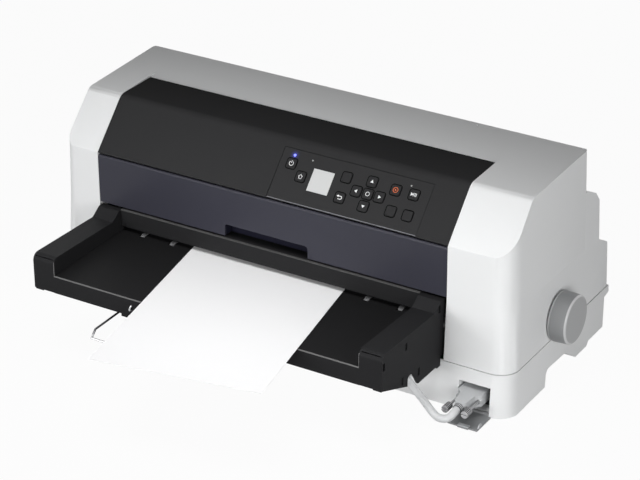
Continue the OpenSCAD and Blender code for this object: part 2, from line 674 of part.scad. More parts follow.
module shaft_with_gear(at_yz, turn, x0, x1) {
    color(steel) rod_x(x0, x1, at_yz[0], at_yz[1], shaft_r);
    color(gear_white) gear(main_teeth, turn, at_yz, shaft_r - 0.01);
}
roller_gap = 0.6;
roller_xs = [for (i = [0:4]) -190 + 87.5 * i];
roller_w = 30;
module feed_roller(at_yz, turn) {
    shaft_with_gear(at_yz, turn, plate_l, gear_x + gear_w + 2);
    color([0.25, 0.25, 0.26]) for (x = roller_xs) rod_x(x, x + roller_w, at_yz[0], at_yz[1], roller_r);
}
module front_feed_roller() { feed_roller(front_roller_at, turn_front); }
module rear_feed_roller() { feed_roller(rear_roller_at, turn_rear); }

knob_x = wall_x(knob_z - knob_r) + 0.5;         // inner face of the knob
module knob_shaft() {
    shaft_with_gear(knob_at, turn_knob, plate_r - 4, knob_x + knob_t / 2);
}
module feed_knob() {
    color(grey) translate([knob_x, knob_y, knob_z]) rotate([90, 0, 90]) difference() {
        rotate_extrude($fn = 96) polygon(soften([[0, 0], [knob_r - 1, 0], [knob_r, 3],
            [knob_r - 0.8, knob_t], [0, knob_t]],
            [0, 1, 1, 3, 0]));
        translate([0, 0, -1]) cylinder(r = shaft_r, h = knob_t / 2 + 1);
    }
}
motor_r = 18;
motor_l = 34;
module feed_motor() {
    x0 = gear_x + gear_w + 5;
    color(steel) {
        rod_x(x0 + 2, x0 + motor_l, pinion_at[0], pinion_at[1], motor_r);
        difference() {
            translate([x0, pinion_at[0] - 26, pinion_at[1] - 8]) cube([2, 52, 28]);
            rod_x(x0 - 1, x0 + 3, pinion_at[0], pinion_at[1], 2 + fit);
        }
        for (s = [-22, 22]) rod_x(plate_r + plate_t, x0, pinion_at[0] + s, pinion_at[1] + 14, 3);
    }
}
module feed_pinion() {
    color(gear_white) gear(pinion_teeth, turn_pinion, pinion_at, 1.99);
    color(steel) rod_x(gear_x - 1, gear_x + gear_w + 6.5, pinion_at[0], pinion_at[1], 2);
}

// --- frame ------------------------------------------------------------------------------
guide_y = 92;
guide_z = 130;
rail_y = 121;                                   // rear rail, which carries the belt drive
rail_z0 = 116;
rail_z1 = 168;
plate_outline = [[17, pan_z + pan_t], [back_d, pan_z + pan_t], [back_d, 112], [back_d - 36, 118],
    [150, 176], [60, 176], [17, 150]];
pan_x0 = plate_l;
pan_x1 = plate_r + plate_t;

module side_plate(x) {
    difference() {
        union() {
            along_x(x, x + plate_t) polygon(soften(plate_outline, [0, 0, 4, 6, 8, 8, 6]));
        }
        rod_x(x - 1, x + 3, guide_y, guide_z, guide_r);
        for (p = [front_roller_at, rear_roller_at]) rod_x(x - 1, x + 3, p[0], p[1], shaft_r + fit);
        // windows that lighten the plate
        along_x(x - 1, x + 3) polygon(soften([[112, 145], [150, 130], [150, 158], [118, 168]],
            [4, 4, 4, 4]));
        along_x(x - 1, x + 3) polygon(soften([[178, 70], [224, 70], [224, 98], [178, 98]], [5, 5, 5, 5]));
    }
}
module left_side_plate() { color(steel) side_plate(plate_l); }
module right_side_plate() {
    color(steel) difference() {
        union() {
            side_plate(plate_r);
            for (p = [idler_a_at, idler_b_at]) rod_x(plate_r + plate_t, gear_x + gear_w + 2.5, p[0],
                p[1], stud_r);
        }
        rod_x(plate_r - 1, plate_r + 3, knob_at[0], knob_at[1], shaft_r + fit);
    }
}
module frame_base() {
    color(steel) difference() {
        union() {
            box([pan_x0, pan_x1], [17, back_d], [pan_z, pan_z + pan_t]);
            box([pan_x0 + plate_t + 0.1, plate_r - 0.1], [60, 62], [pan_z + pan_t, pan_z + 12]);
            box([pan_x0 + plate_t + 0.1, plate_r - 0.1], [190, 192], [pan_z + pan_t, pan_z + 12]);
        }
        for (i = [0:3]) translate([-190 + 115 * i, 140, pan_z - 1]) cylinder(r = 24, h = 4);
    }
}
module rear_rail() {
    color(steel) difference() {
        box([plate_l + plate_t, plate_r], [rail_y, rail_y + 2], [rail_z0, rail_z1]);
        translate([belt_x1, rail_y - 1, belt_z]) rotate([-90, 0, 0]) cylinder(r = 6, h = 4);
        for (i = [0:3]) translate([-150 + 90 * i, rail_y - 1, 142]) rotate([-90, 0, 0])
            cylinder(r = 15, h = 4);
    }
    color(steel) translate([belt_x0, belt_y - 4, belt_z]) rotate([-90, 0, 0])
        cylinder(r = 2.5, h = rail_y - belt_y + 4.5);
}
module guide_shaft() { color(steel) rod_x(plate_l, plate_r + plate_t, guide_y, guide_z, guide_r); }
platen_end = 12;                                // the bar's upper part stops short of the side plates
module platen_bar() {
    color([0.2, 0.2, 0.2]) {
        box([plate_l + plate_t, plate_r], [54, 64], [78, 98]);
        box([plate_l + plate_t + platen_end + part_gap, plate_r - platen_end - part_gap], [54, 64],
            [97, floor_z - 0.1]);
    }
}

module paper_guide() {
    z1 = floor_z - 0.1;
    color([0.3, 0.3, 0.31]) difference() {
        union() {
            box([plate_l + plate_t, plate_r], [18, back_d], [z1 - 1.5, z1]);
            box([arm_x0 + arm_w, arm_x1 - arm_w], [bump_y + 2, 18], [z1 - 1.5, z1]);
            box([plate_l + plate_t, plate_r], [back_d - 1.5, back_d], [z1 - 14, z1]);
        }
        box([plate_l + plate_t + platen_end, plate_r - platen_end], [53.7, 64.3], [90, 120]);
        for (p = [front_roller_at, rear_roller_at], x = roller_xs)
            box([x - 0.6, x + roller_w + 0.6], [p[0] - 8, p[0] + 8], [90, 120]);
        for (x = bump_x) box([x - bump_w / 2 - 0.6, x + bump_w / 2 + 0.6], [0, bump_y + 10], [90, 120]);
    }
}

// --- carriage ---------------------------------------------------------------------------
home_x = (open_x0 + open_x1) / 2 - print_w / 2; // middle of the carriage at its home
head_y = 59;
belt_y = 111;
belt_w = 6;
belt_z = 142;
belt_x0 = open_x0 + 19;
belt_x1 = home_x + print_w + carriage_w / 2 + 18;
pulley_r = 8;
belt_t = 1.5;
belt_low = belt_z - pulley_r - 0.1 - belt_t;    // underside of the belt's lower run

module carriage() {
    x0 = home_x - carriage_w / 2;
    x1 = home_x + carriage_w / 2;
    color(black) difference() {
        union() {
            along_x(x0, x1) polygon(soften([[18, 134.7], [26, 134.7], [30, 128], [40, 124],
                [75, 124], [84, 121],
                [98, 121], [103, 130], [98, 141], [84, 144], [76, 148], [24, 148], [18, 144]],
                [0, 0, 2, 2, 2, 2, 5, 5, 5, 2, 2, 3, 3]));
            // belt clamp
            box([x0 + 18, x1 - 18], [95, belt_y + belt_w + 1], [128, belt_low - part_gap]);
            box([x0 + 18, x1 - 18], [belt_y - 4, belt_y - 0.4], [128, belt_low + belt_t + 4]);
            box([x0 + 18, x1 - 18], [belt_y - 4, belt_y + belt_w + 1],
                [belt_low + belt_t + part_gap, belt_low + belt_t + 4]);
        }
        rod_x(x0 - 1, x1 + 1, guide_y, guide_z, guide_r + fit);
        box([home_x - 17.3, home_x + 17.3], [head_y - 16.3, head_y + 16.3], [100, 200]);
    }
}
module print_head() {
    color([0.35, 0.36, 0.38]) {
        translate([home_x, head_y, 0]) {
            translate([0, 0, 110.2]) cylinder(r1 = 4, r2 = 9, h = 13.8);
            box([-17, 17], [-16, 16], [124, 150]);
            for (i = [0:4]) box([-17, 17], [-16 + 7.5 * i, -14 + 7.5 * i], [150, 160]);
        }
    }
}
module ribbon_cartridge() {
    color([0.2, 0.2, 0.21]) difference() {
        union() {
            translate([home_x, 48, 148.2]) linear_extrude(13)
                polygon(soften([[-ribbon_w / 2, -28], [ribbon_w / 2, -28],
                [ribbon_w / 2, 14], [ribbon_w / 2 - 22, 40], [-ribbon_w / 2 + 22, 40],
                    [-ribbon_w / 2, 14]], [5, 5, 5, 8, 8, 5]));
            translate([home_x - ribbon_w / 2 + 22, 40, 161.2]) cylinder(r = 9, h = 4);
        }
        box([home_x - 17.4, home_x + 17.4], [head_y - 16.4, head_y + 16.4], [100, 200]);
    }
}
module pulley(x, flange_y) {
    color(steel) translate([x, belt_y - 1.5, belt_z]) rotate([-90, 0, 0]) difference() {
        union() {
            cylinder(r = pulley_r, h = belt_w + 3);
            cylinder(r = pulley_r + 3, h = 1.2);
            translate([0, 0, belt_w + 1.8]) cylinder(r = pulley_r + 3, h = 1.2);
        }
        translate([0, 0, -1]) cylinder(r = flange_y, h = belt_w + 5);
    }
}
module idler_pulley() { pulley(belt_x0, 2.5 + fit); }
module motor_pulley() {
    pulley(belt_x1, 2.49);
    color(steel) translate([belt_x1, belt_y - 1, belt_z]) rotate([-90, 0, 0])
        cylinder(r = 2.5, h = rail_y - belt_y + 6.5);
}
module carriage_motor() {
    color([0.3, 0.3, 0.32]) translate([belt_x1, rail_y + 2, belt_z]) difference() {
        union() {
            translate([-21, 0, -21]) cube([42, 4, 42]);
            translate([0, 4, 0]) rotate([-90, 0, 0]) cylinder(r = 20, h = 34);
        }
        rotate([-90, 0, 0]) translate([0, 0, -1]) cylinder(r = 2.5 + fit, h = 6);
    }
}
module drive_belt() {
    r = pulley_r + 0.1;
    color([0.12, 0.12, 0.12]) translate([0, belt_y, 0]) {
        for (s = [-1, 1]) box([belt_x0, belt_x1], [0, belt_w],
            s > 0 ? [belt_z + r, belt_z + r + belt_t] : [belt_z - r - belt_t, belt_z - r]);
        for (x = [belt_x0, belt_x1]) intersection() {
            translate([x, 0, belt_z]) rotate([-90, 0, 0]) difference() {
                cylinder(r = r + belt_t, h = belt_w);
                translate([0, 0, -1]) cylinder(r = r, h = belt_w + 2);
            }
            box(x == belt_x0 ? [x - 30, x] : [x, x + 30], [-1, belt_w + 1], [belt_z - 30, belt_z + 30]);
        }
    }
}

// --- electrics in the base --------------------------------------------------------------
inlet_x = -205;
psu_lift = 21.5;
inlet_y = case_d - 20;                          // behind the flange of the power inlet
inlet_in = inlet_y - 22;                        // its inner end
psu_back = inlet_in - 12;                       // room for the leads between the inlet and the power supply
module main_board() {
    z = skirt_z + wall + 5;
    color([0.1, 0.35, 0.2]) box([-120, 232], [52, 196], [z, z + 1.6]);
    color([0.15, 0.15, 0.15]) {
        box([-60, -28], [90, 122], [z + 1.6, z + 5]);
        box([20, 40], [80, 110], [z + 1.6, z + 5]);
        box([60, 80], [80, 110], [z + 1.6, z + 5]);
        box([120, 190], [150, 158], [z + 1.6, z + 14]);
    }
    color([0.2, 0.2, 0.35]) for (i = [0:3]) translate([-90 + 26 * i, 170, z + 1.6]) cylinder(r = 8, h = 22);
    color(steel) for (x = [-112, 224], y = [60, 188]) translate([x, y, skirt_z + wall])
        cylinder(r = 3, h = 5);
}
module power_supply() {
    color(steel) box([-292, -140], [50, psu_back], [skirt_z + wall + psu_lift, 54]);
    color(steel) for (x = [-276, -156], y = [56, psu_back - 16]) translate([x, y, skirt_z + wall])
        cylinder(r = 4, h = psu_lift);
}
module power_inlet() {
    y = inlet_y;
    color(black) difference() {
        union() {
            box([inlet_x - 14, inlet_x + 14], [inlet_in, case_d - 13], [15, 37]);
            box([inlet_x - 17, inlet_x + 17], [inlet_in, y - 6], [12, 40]);
        }
        box([inlet_x - 12, inlet_x + 12], [y - 14, case_d], [18, 34]);
    }
    color(steel) for (x = [-7, 0, 7]) box([inlet_x + x - 1, inlet_x + x + 1], [y - 15, case_d - 19],
        x == 0 ? [27, 31] : [21, 25]);
}

// --- connector bay ----------------------------------------------------------------------
plug_x = 266.4;
plug_z = 22.7;
screw_dx = 12.6;                                // half the spacing of the plug's screws
port_y = 12;                                    // face of the port bracket
hood_taper = -11.5;                             // where the hood's shoulders begin
hood_end = -36;
neck_l = 8;
module port_bracket() {
    color([0.3, 0.31, 0.32]) {
        difference() {
            box([bay_x0 + 0.3, bay_x1 - 0.3], [port_y, port_y + 1.5], [skirt_z + wall, bay_z - 0.3]);
            for (s = [-1, 1]) translate([plug_x + s * screw_dx, port_y - 1, plug_z])
                rotate([-90, 0, 0]) cylinder(r = 1.6, h = 9);
        }
        box([bay_x0 + 0.3, bay_x1 - 0.3], [port_y + 1.5, bay_d],
            [skirt_z + wall + 2, skirt_z + wall + 3.5]);
    }
    color(steel) box([plug_x - 9, plug_x + 9], [port_y - 5, port_y + 9], [plug_z - 5, plug_z + 5]);
}
module cable_plug() {
    y0 = port_y - 5 - part_gap;                 // face that meets the port
    color(cable_grey) {
        difference() {
            union() {
                translate([plug_x, 0, plug_z - 7.5]) linear_extrude(15)
                    polygon(soften([[-15.5, y0], [-15.5, hood_taper],
                    [-9.4, hood_taper - 6], [-7.2, hood_end], [7.2, hood_end], [9.4, hood_taper - 6],
                        [15.5, hood_taper], [15.5, y0]],
                    [1, 3, 2.5, 2, 2, 2.5, 3, 1]));
                for (s = [-1, 1]) translate([plug_x + s * screw_dx, hood_taper + 2, plug_z])
                    rotate([90, 0, 0]) cylinder(r = 3.6, h = 6);
            }
            for (s = [-1, 1]) translate([plug_x + s * screw_dx, y0 - 60, plug_z]) rotate([-90, 0, 0])
                cylinder(r = 2.1, h = 90);
        }
        translate([plug_x, hood_end, plug_z]) rotate([90, 0, 0]) {
            cylinder(r1 = 5.8, r2 = 5, h = neck_l);
            for (i = [0:2]) translate([0, 0, 1 + 2.3 * i]) cylinder(r = 6.3 - 0.2 * i, h = 1.3);
        }
    }
}
module plug_screws() {
    y1 = port_y + 1;
    color(steel) for (s = [-1, 1]) translate([plug_x + s * screw_dx, 0, plug_z]) rotate([90, 0, 0]) {
        translate([0, 0, -y1]) cylinder(r = 1.5, h = y1 + 39);
        translate([0, 0, 37.5]) difference() {
            cylinder(r = 4.4, h = 12);
            translate([-5, -0.7, 10.6]) cube([10, 1.4, 3]);
        }
    }
}
flap_w = 38.5;
flap_x = 254;                                   // the flap overlaps the bay's right edge
flap_l = 37.3;
flap_t = 2;
flap_y = -5.2;                                  // hinge line, inside the front wall's thickness
flap_z = 2.8;
flap_pin = 1;
flap_rest = 0.6;                                // the open flap lies just above the table
module connector_flap() {
    y0 = flap_y - flap_l;
    foot = front_y(0) - part_gap;               // in front of the wall, which it overlaps
    x1 = flap_x + flap_w;
    color([0.55, 0.56, 0.57]) {
        box([flap_x, x1], [y0, foot], [flap_rest, flap_rest + flap_t]);
        box([flap_x, bay_x1 - part_gap], [foot - 1, flap_y], [flap_rest, flap_rest + flap_t]);
        rod_x(flap_x, bay_x1 - part_gap, flap_y, flap_z, flap_z - flap_rest);
        rod_x(bay_x0 - 1.7, bay_x1 + 1.7, flap_y, flap_z, flap_pin);
        // catch on the front edge and a rib at the right
        box([flap_x + 13.5, flap_x + 27.5], [y0 - 1.5, y0 + 4], [flap_rest, flap_rest + flap_t + 1.6]);
        for (x = [flap_x, x1 - 1.6]) along_x(x, x + 1.6)
            polygon([[y0 + 2, 1], [y0 + 15, 1], [y0 + 11, 6.5], [y0 + 6, 6.5]]);
    }
}

// --- loaded sheet -----------------------------------------------------------------------
sheet_fl = [-75.6, -280.5];                     // front left corner
module loaded_sheet() {
    color([0.96, 0.96, 0.96]) translate([sheet_fl[0], sheet_fl[1], floor_z + part_gap])
        rotate([0, 0, sheet_turn])
        cube([sheet_w, sheet_l, sheet_t]);
}

// --- interface cable --------------------------------------------------------------------
// The free stretch, from the plug's neck to the coil behind the case
route = [[266.4, -44, 22.7], [266.4, -49, 22.7], [265, -56.5, 19.5], [259, -59.5, 16.5],
    [250, -59.5, 16], [241.5, -58, 21],
    [233.5, -61.5, 34.5], [227, -68.5, 49], [221, -74, 61], [213.5, -75.5, 72], [208, -69, 80],
        [206, -57, 80], [206, -42, 68],
    [204, -28, 52], [195, -18, 38], [180, -12.5, 31], [165, -12, 30], [120, -12, 30], [-60, -12, 30],
        [-180, -12, 30],
    [-260, -12, 30], [-290, -12.5, 28], [-310, -14, 22], [-322, -5, 14], [-326, 15, 8], [-326, 45, 5],
        [-326, 150, 5], [-326, 225, 5],
    [-321, 250, 5], [-303, 265, 5], [-284, 268, 5], [-215.5, 268, 5]];

function unit3(v) = v / norm(v);
// One more round of corner cutting makes the route a smooth curve
function smooth(p) = concat([p[0]],
    [for (i = [0:len(p) - 2]) each [0.75 * p[i] + 0.25 * p[i + 1], 0.25 * p[i] + 0.75 * p[i + 1]]],
    [p[len(p) - 1]]);
function tangent(p, i) = unit3(p[min(i + 1, len(p) - 1)] - p[max(i - 1, 0)]);
// Points of a tube's rings; the path never runs upright, so the Z axis sets their turn
function ring(p, i, r, n) = let (t = tangent(p, i), u = unit3(cross(t, [0, 0, 1])), v = cross(u, t))
    [for (k = [0:n - 1]) p[i] + r * (cos(360 * k / n) * u + sin(360 * k / n) * v)];
module tube(p, r, n) {
    m = len(p);
    pts = [for (i = [0:m - 1]) each ring(p, i, r, n)];
    sides = [for (i = [0:m - 2], k = [0:n - 1]) let (a = i * n + k, b = i * n + (k + 1) % n)
        each [[a, b, b + n], [a, b + n, a + n]]];
    ends = [for (k = [1:n - 2]) each [[0, k + 1, k], [(m - 1) * n, (m - 1) * n + k, (m - 1) * n + k + 1]]];
    polyhedron(points = pts, faces = concat(sides, ends));
}
module interface_cable() { color(cable_grey) tube(smooth(route), cable_d / 2, 8); }

// The stowed length: a flat spiral inwards, and a second one outwards on top of it
coil_at = [-206, 326];
coil_out = 58;
coil_step = cable_d + 0.6;                      // from one turn, or one layer, to the next
coil_rings = 24;                                // rings of the tube in one turn
coil_z = 5;
coil_turn = coil_turns + 0.25;                  // where the spiral stops going inwards
coil_total = 2 * coil_turn;
function coil_point(t) = let (rise = min(max(t - coil_turns, 0), 0.5) / 0.5, a = 360 * t - 90,
        r = coil_out - coil_step * min(t, coil_turn) + coil_step * max(t - coil_turn, 0))
    [coil_at[0] + r * cos(a), coil_at[1] + r * sin(a), coil_z + coil_step * (1 - cos(180 * rise)) / 2];
coil_steps = round(coil_total * coil_rings);
coil_path = [for (i = [0:coil_steps]) coil_point(i / coil_rings)];
// Least gap between turns, between points of the path more than half a turn apart
coil_gap = min([for (i = [0:2:coil_steps * 4])
    min([for (k = [i + coil_rings * 2:coil_steps * 4 + coil_rings * 2])
    norm(coil_point(min(k, coil_steps * 4) / coil_rings / 4) - coil_point(i / coil_rings / 4)) +
        (k > coil_steps * 4 ? big : 0)])])
    - cable_d;
echo(str("least gap between the turns of the coil: ", coil_gap, " mm"));
// Straight end, which comes down from the upper layer to the table: distances along it, and heights
coil_tail = [[10, 15.1], [20, 15], [30, 14], [40, 11.3], [50, 8.6], [60, 7.6], [70, 7.6]];
tail_path = [for (q = coil_tail) coil_path[coil_steps] + [-q[0], 0, q[1] - coil_path[coil_steps][2]]];
module cable_coil() {
    color(cable_grey) tube(concat([coil_path[0] - [cable_d, 0, 0]], coil_path, tail_path), cable_d / 2, 6);
}
module far_plug() {
    color(cable_grey) translate(tail_path[len(tail_path) - 1]) rotate([0, 0, 90]) {
        rotate([-90, 0, 0]) cylinder(r1 = 5.2, r2 = 6.5, h = 8);
        translate([0, 8, -7.5]) linear_extrude(15)
            polygon(soften([[-7.5, 0], [7.5, 0], [15.5, 22], [15.5, 38], [-15.5, 38], [-15.5, 22]],
            [2, 2, 5, 1, 1, 5]));
        translate([-8.5, 46, -4.5]) cube([17, 6, 9]);
    }
}

// --- place of the part: middle of its footprint on the table ------------------------------
origin_x = (knob_x + knob_t - wall_x(skirt_z)) / 2;
origin_y = (case_d + sheet_fl[1]) / 2;
module place() { translate([-origin_x, -origin_y, 0]) children(); }

place() lower_case();
place() upper_case();
place() top_cover();
place() front_window();
place() window_pocket();
place() front_tray();
place() entry_guide();
place() control_panel();
place() panel_display();
place() panel_lights();
place() panel_bridge();
place() key(0);  // key_power
place() key(1);  // key_mode
place() key(2);  // key_source
place() key(3);  // key_back
place() key(4);  // key_up
place() key(5);  // key_left
place() key(6);  // key_ok
place() key(7);  // key_right
place() key(8);  // key_down
place() key(9);  // key_cancel
place() key(10);  // key_pause
place() key(11);  // key_load
place() key(12);  // key_unit
place() feed_knob();
place() knob_shaft();
place() idler_gear_a();
place() idler_gear_b();
place() front_feed_roller();
place() rear_feed_roller();
place() feed_motor();
place() feed_pinion();
place() tray_rollers();
place() left_side_plate();
place() right_side_plate();
place() frame_base();
place() rear_rail();
place() guide_shaft();
place() platen_bar();
place() paper_guide();
place() carriage();
place() print_head();
place() ribbon_cartridge();
place() carriage_motor();
place() motor_pulley();
place() idler_pulley();
place() drive_belt();
place() main_board();
place() power_supply();
place() power_inlet();
place() port_bracket();
place() connector_flap();
place() rubber_feet();
place() wire_support();
place() loaded_sheet();
place() cable_plug();
place() plug_screws();
place() interface_cable();
place() cable_coil();
place() far_plug();
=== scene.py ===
import json
from math import cos, pi, radians, sin

import bpy
from mathutils import Matrix, Vector


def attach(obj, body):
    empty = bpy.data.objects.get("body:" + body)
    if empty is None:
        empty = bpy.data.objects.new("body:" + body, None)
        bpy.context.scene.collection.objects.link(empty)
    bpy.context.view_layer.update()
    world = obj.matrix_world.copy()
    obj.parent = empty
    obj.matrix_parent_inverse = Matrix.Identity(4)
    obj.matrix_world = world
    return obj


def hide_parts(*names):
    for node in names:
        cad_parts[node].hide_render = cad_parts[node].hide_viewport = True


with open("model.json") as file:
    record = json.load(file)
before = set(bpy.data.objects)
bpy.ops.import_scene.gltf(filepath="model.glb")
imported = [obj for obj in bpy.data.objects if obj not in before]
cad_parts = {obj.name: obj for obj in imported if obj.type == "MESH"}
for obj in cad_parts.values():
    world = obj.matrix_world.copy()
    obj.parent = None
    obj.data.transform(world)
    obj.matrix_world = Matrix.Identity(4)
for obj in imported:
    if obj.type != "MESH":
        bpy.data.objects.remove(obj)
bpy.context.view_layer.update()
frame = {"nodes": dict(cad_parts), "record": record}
MM = 0.001

# Camera. It stands to the right of the printer's front, about three metres away and
# one and a half above the table, and looks down at it through a long lens.
CAMERA_AT = (1.38010, -2.18073, 1.50184)
RIGHT = Vector((0.85587687, 0.51714769, -0.00574824))
DOWN = Vector((0.23435923, -0.39772338, -0.88706925))
AHEAD = Vector((-0.46103203, 0.75787491, -0.46160058))
camera_data = bpy.data.cameras.new("camera")
camera_data.sensor_width = 36
camera_data.lens = 139.16
camera = bpy.data.objects.new("camera", camera_data)
bpy.context.scene.collection.objects.link(camera)
turn = Matrix((RIGHT, -DOWN, -AHEAD)).transposed().to_4x4()
camera.matrix_world = Matrix.Translation(CAMERA_AT) @ turn
bpy.context.scene.camera = camera
bpy.context.scene.view_settings.view_transform = "Standard"


# Interface cable. A round grey cable with a soft plastic jacket, 2.2 metres long. It leaves the
# plug at the right front, climbs into the hollow tray arm, lies in three hooks along the foot of the
# case, turns round its left corner and ends behind it in a flat coil of two layers and a second plug.
ORIGIN = Vector((0.01113068, -0.01025, 0))
CABLE_D = 0.0095
ROUTE = [(0.2664, -0.044, 0.0227), (0.2664, -0.049, 0.0227), (0.265, -0.0565, 0.0195),
         (0.259, -0.0595, 0.0165), (0.250, -0.0595, 0.016), (0.2415, -0.058, 0.021),
         (0.2335, -0.0615, 0.0345),
         (0.227, -0.0685, 0.049), (0.221, -0.074, 0.061), (0.2135, -0.0755, 0.072), (0.208, -0.069, 0.080),
         (0.206, -0.057, 0.080), (0.206, -0.042, 0.068), (0.204, -0.028, 0.052), (0.195, -0.018, 0.038),
         (0.180, -0.0125, 0.031), (0.165, -0.012, 0.030), (0.120, -0.012, 0.030), (-0.060, -0.012, 0.030),
         (-0.180, -0.012, 0.030), (-0.260, -0.012, 0.030), (-0.290, -0.0125, 0.028), (-0.310, -0.014, 0.022),
         (-0.322, -0.005, 0.014), (-0.326, 0.015, 0.008), (-0.326, 0.045, 0.005), (-0.326, 0.150, 0.005),
         (-0.326, 0.225, 0.005), (-0.321, 0.250, 0.005), (-0.303, 0.265, 0.005), (-0.284, 0.268, 0.005),
         (-0.206, 0.268, 0.005)]
COIL_AT = (-0.206, 0.326)
COIL_OUT = 0.058
COIL_Z = 0.005
COIL_STEP = 0.0101
COIL_TURNS = 1.5
COIL_INMOST = COIL_TURNS + 0.25
TAIL = [(0.010, 0.0151), (0.020, 0.015), (0.030, 0.014), (0.040, 0.0113), (0.050, 0.0086), (0.060, 0.0076),
        (0.070, 0.0076)]


# A finish is written with this wrapper round one output of a shader node: an expression on two
# values adds the Math node that works it out.
class Value:
    def __init__(self, tree, socket):
        self.tree, self.socket = tree, socket

    def math(self, operation, *others):
        return add_node(self.tree, "ShaderNodeMath", {"operation": operation},
                        {0: self, **{1 + i: o for i, o in enumerate(others)}})

    def __add__(self, other):
        return self.math("ADD", other)

    def __mul__(self, other):
        return self.math("MULTIPLY", other)

    def __sub__(self, other):
        return self.math("SUBTRACT", other)

    def __rsub__(self, other):
        return (self * -1) + other

    __radd__, __rmul__ = __add__, __mul__


def add_node(tree, kind, settings, inputs, output=0):
    """Any other node: its type, its settings, and then the values or links of its sockets."""
    node = tree.nodes.new(kind)
    for name, value in settings.items():
        setattr(node, name, value)
    for key, value in inputs.items():
        if isinstance(value, Value):
            tree.links.new(value.socket, node.inputs[key])
        else:
            node.inputs[key].default_value = value
    return Value(tree, node.outputs[output])


def noise(tree, scale, detail):
    """Soft noise that stays with the piece."""
    place = add_node(tree, "ShaderNodeTexCoord", {}, {}, "Object")
    return add_node(tree, "ShaderNodeTexNoise", {},
                    {"Vector": place, "Scale": scale, "Detail": detail, "Roughness": 0.5})


def tint(tree, factor, under, over):
    """From one colour to another as the factor goes from 0 to 1."""
    under, over = [c if isinstance(c, Value) else (*c, 1) for c in (under, over)]
    return add_node(tree, "ShaderNodeMix", {"data_type": "RGBA"}, {"Factor": factor, 6: under, 7: over}, 2)


DRIFT_SCALE = 9.0
ROUGHNESS_SPREAD = 0.08


def finish(name, colour, roughness, grain=0.0, grain_size=0.0008, shade=0.04, metallic=0.0,
           alpha=1.0, glow=None, specular=0.5):
    """A finish of one colour: a slow drift of its shade, a fine grain that turns the light,
    and a roughness that varies a little with the grain. A glow is a colour and its strength."""
    material = bpy.data.materials.new(name)
    material.use_nodes = True
    tree = material.node_tree
    body = tree.nodes["Principled BSDF"]
    drift = noise(tree, DRIFT_SCALE, 3.0)
    low = [c * (1 - shade) for c in colour]
    high = [min(c * (1 + shade), 1) for c in colour]
    tree.links.new(tint(tree, drift, low, high).socket, body.inputs["Base Color"])
    fine = noise(tree, 1 / grain_size, 1.0)
    rough = roughness - ROUGHNESS_SPREAD / 2 + fine * ROUGHNESS_SPREAD
    tree.links.new(rough.socket, body.inputs["Roughness"])
    body.inputs["Metallic"].default_value = metallic
    body.inputs["Alpha"].default_value = alpha
    body.inputs["Specular IOR Level"].default_value = specular
    if grain:
        bump = add_node(tree, "ShaderNodeBump", {},
                        {"Strength": 1.0, "Distance": grain, "Height": fine})
        tree.links.new(bump.socket, body.inputs["Normal"])
    if glow:
        body.inputs["Emission Color"].default_value = (*glow[:3], 1)
        body.inputs["Emission Strength"].default_value = glow[3]
    return material


def smooth_route(points):
    """Cuts the corners of the route once, and keeps its ends."""
    cut = [points[0]]
    for a, b in zip(points, points[1:]):
        cut += [a.lerp(b, 0.25), a.lerp(b, 0.75)]
    return cut + [points[-1]]


def coil_point(t):
    """The point t turns into the coil: inwards in the lower layer, and outwards on top of it."""
    rise = min(max(t - COIL_TURNS, 0), 0.5) / 0.5
    radius = COIL_OUT - COIL_STEP * min(t, COIL_INMOST) + COIL_STEP * max(t - COIL_INMOST, 0)
    angle = 2 * pi * t - pi / 2
    return Vector((COIL_AT[0] + radius * cos(angle), COIL_AT[1] + radius * sin(angle),
                   COIL_Z + COIL_STEP * (1 - cos(pi * rise)) / 2))


ROUNDS = 3
COIL_STEPS = 48
cable_line = [Vector(p) for p in ROUTE]
for _ in range(ROUNDS):
    cable_line = smooth_route(cable_line)
cable_line += [coil_point(i / COIL_STEPS) for i in range(1, int(2 * COIL_INMOST * COIL_STEPS) + 1)]
coil_end = cable_line[-1]
cable_line += [Vector((coil_end.x - along, coil_end.y, height)) for along, height in TAIL]
cable_line = [p - ORIGIN for p in cable_line]
cable_curve = bpy.data.curves.new("cable", "CURVE")
cable_curve.dimensions = "3D"
cable_curve.bevel_depth = CABLE_D / 2
cable_curve.bevel_resolution = 4
spline = cable_curve.splines.new("POLY")
spline.points.add(len(cable_line) - 1)
for point, place in zip(spline.points, cable_line):
    point.co = (*place, 1)
spline.use_smooth = True
cable = bpy.data.objects.new("cable", cable_curve)
bpy.context.scene.collection.objects.link(cable)
jacket = finish("cable_jacket", (0.58, 0.588, 0.596), 0.42, grain=0.00003, grain_size=0.0006, specular=0.3)
cable_curve.materials.append(jacket)
cable_length = sum((b - a).length for a, b in zip(cable_line, cable_line[1:]))
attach(cable, "case")
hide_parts("interface_cable", "cable_coil")

# Plugs of the cable. Each is a moulded grey hood with a ribbed neck, which grips the jacket, and
# the plug at the port is held by two long steel thumbscrews with knurled heads.
MERGED = 0.00001
ONE_FACE = radians(0.5)
FINE_BAND = 0.0012
FINE_EDGE = 0.2
PER_M = 1000


def plain():
    """Nothing selected and no object in edit mode."""
    if bpy.context.object and bpy.context.object.mode != "OBJECT":
        bpy.ops.object.mode_set(mode="OBJECT")
    bpy.ops.object.select_all(action="DESELECT")


def body_of(node):
    """The body that the solid rides on."""
    return next(b for b, nodes in frame["record"]["behaviour"]["bodies"].items() if node in nodes)


def even_skin(piece):
    """Smooth shading between the sharp edges, with the flat faces kept flat."""
    bpy.ops.object.shade_smooth_by_angle(angle=radians(35))
    weighted = piece.modifiers.new("even", "WEIGHTED_NORMAL")
    weighted.keep_sharp = True
    bpy.ops.object.modifier_apply(modifier="even")


